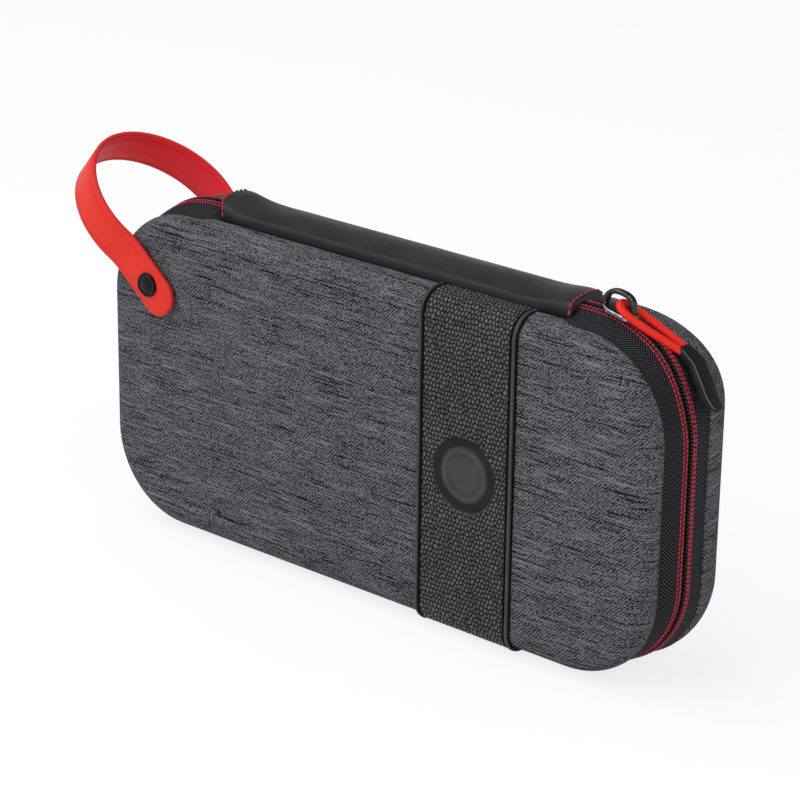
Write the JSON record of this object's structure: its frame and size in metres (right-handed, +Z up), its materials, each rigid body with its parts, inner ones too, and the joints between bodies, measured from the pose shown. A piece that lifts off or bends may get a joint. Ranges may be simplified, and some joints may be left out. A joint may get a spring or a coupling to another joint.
{
  "type": "portable game console case",
  "caption": "Zip-around hard case for a hand-held game console: canvas shells, leather spine and band, red carry strap, zip pull, inner cradle and net pocket.",
  "frame": {"origin": "mid-length, on the flat strip of the rear shell's lower side that the case stands on", "axes": "+X along the case towards the zip slider's end, +Y from the front face to the rear face, +Z up towards the spine"},
  "size_m": [0.3052, 0.0654, 0.1499],
  "materials": {
    "canvas": "heathered woven canvas over moulded foam",
    "grained_leather": "pebble-grain black leather, soft sheen",
    "smooth_leather": "smooth soft black leather, satin",
    "slider_metal": "black plated metal worn bright at the edges",
    "cord": "red braided cord",
    "grip_rubber": "moulded black rubber",
    "strap_leather": "smooth red coated leather",
    "lining": "short-pile black lining on a moulded cradle",
    "zip_tape": "black herringbone tape with red stitching",
    "zip_coil": "black nylon coil",
    "snap_cap": "glossy black enamelled dome",
    "snap_steel": "nickel-plated steel",
    "binding": "black woven binding",
    "mesh": "black net",
    "elastic_hem": "black elastic tape"
  },
  "bodies": {
    "rear_half": {"rear_shell": "canvas", "rear_zip_tape_left": "zip_tape", "rear_zip_tape_bottom": "zip_tape", "rear_zip_tape_right": "zip_tape", "rear_zip_coil": "zip_coil", "spine_panel": "smooth_leather", "console_tray": "lining", "rear_snap_stud": "snap_steel", "rear_snap_backplate": "snap_steel"},
    "front_half": {"front_shell": "canvas", "leather_band": "grained_leather", "front_zip_tape_left": "zip_tape", "front_zip_tape_bottom": "zip_tape", "front_zip_tape_right": "zip_tape", "front_zip_coil": "zip_coil", "mesh_pocket": "mesh", "pocket_binding": "binding", "pocket_hem": "elastic_hem", "front_snap_stud": "snap_steel", "front_snap_backplate": "snap_steel"},
    "strap": {"carry_strap": "strap_leather", "front_snap_cap": "snap_cap", "rear_snap_cap": "snap_cap", "front_snap_socket": "snap_steel", "rear_snap_socket": "snap_steel"},
    "slider": {"zip_slider": "slider_metal"},
    "pull": {"pull_cord": "cord", "pull_grip": "grip_rubber"}
  },
  "joints": [
    {"name": "lid_hinge", "type": "hinge", "parent": "rear_half", "child": "front_half", "pos_m": [0, -0.015, 0.1368], "axis": [-1, 0, 0], "range_deg": [0, 180], "deforming": ["spine_panel", "front_zip_tape_left", "front_zip_tape_right", "front_zip_coil", "carry_strap", "front_snap_cap", "front_snap_socket"]},
    {"name": "strap_swing", "type": "hinge", "parent": "rear_half", "child": "strap", "pos_m": [-0.1079, -0.008, 0.1027], "axis": [0, 1, 0], "range_deg": [-60, 45]},
    {"name": "slider_travel", "type": "hinge", "parent": "rear_half", "child": "slider", "pos_m": [0.095, -0.015, 0.092], "axis": [0, 1, 0], "range_deg": [0, 40]},
    {"name": "pull_swing", "type": "hinge", "parent": "slider", "child": "pull", "pos_m": [0.1049, -0.015, 0.13755], "axis": [0, -1, 0], "range_deg": [0, 120]}
  ]
}
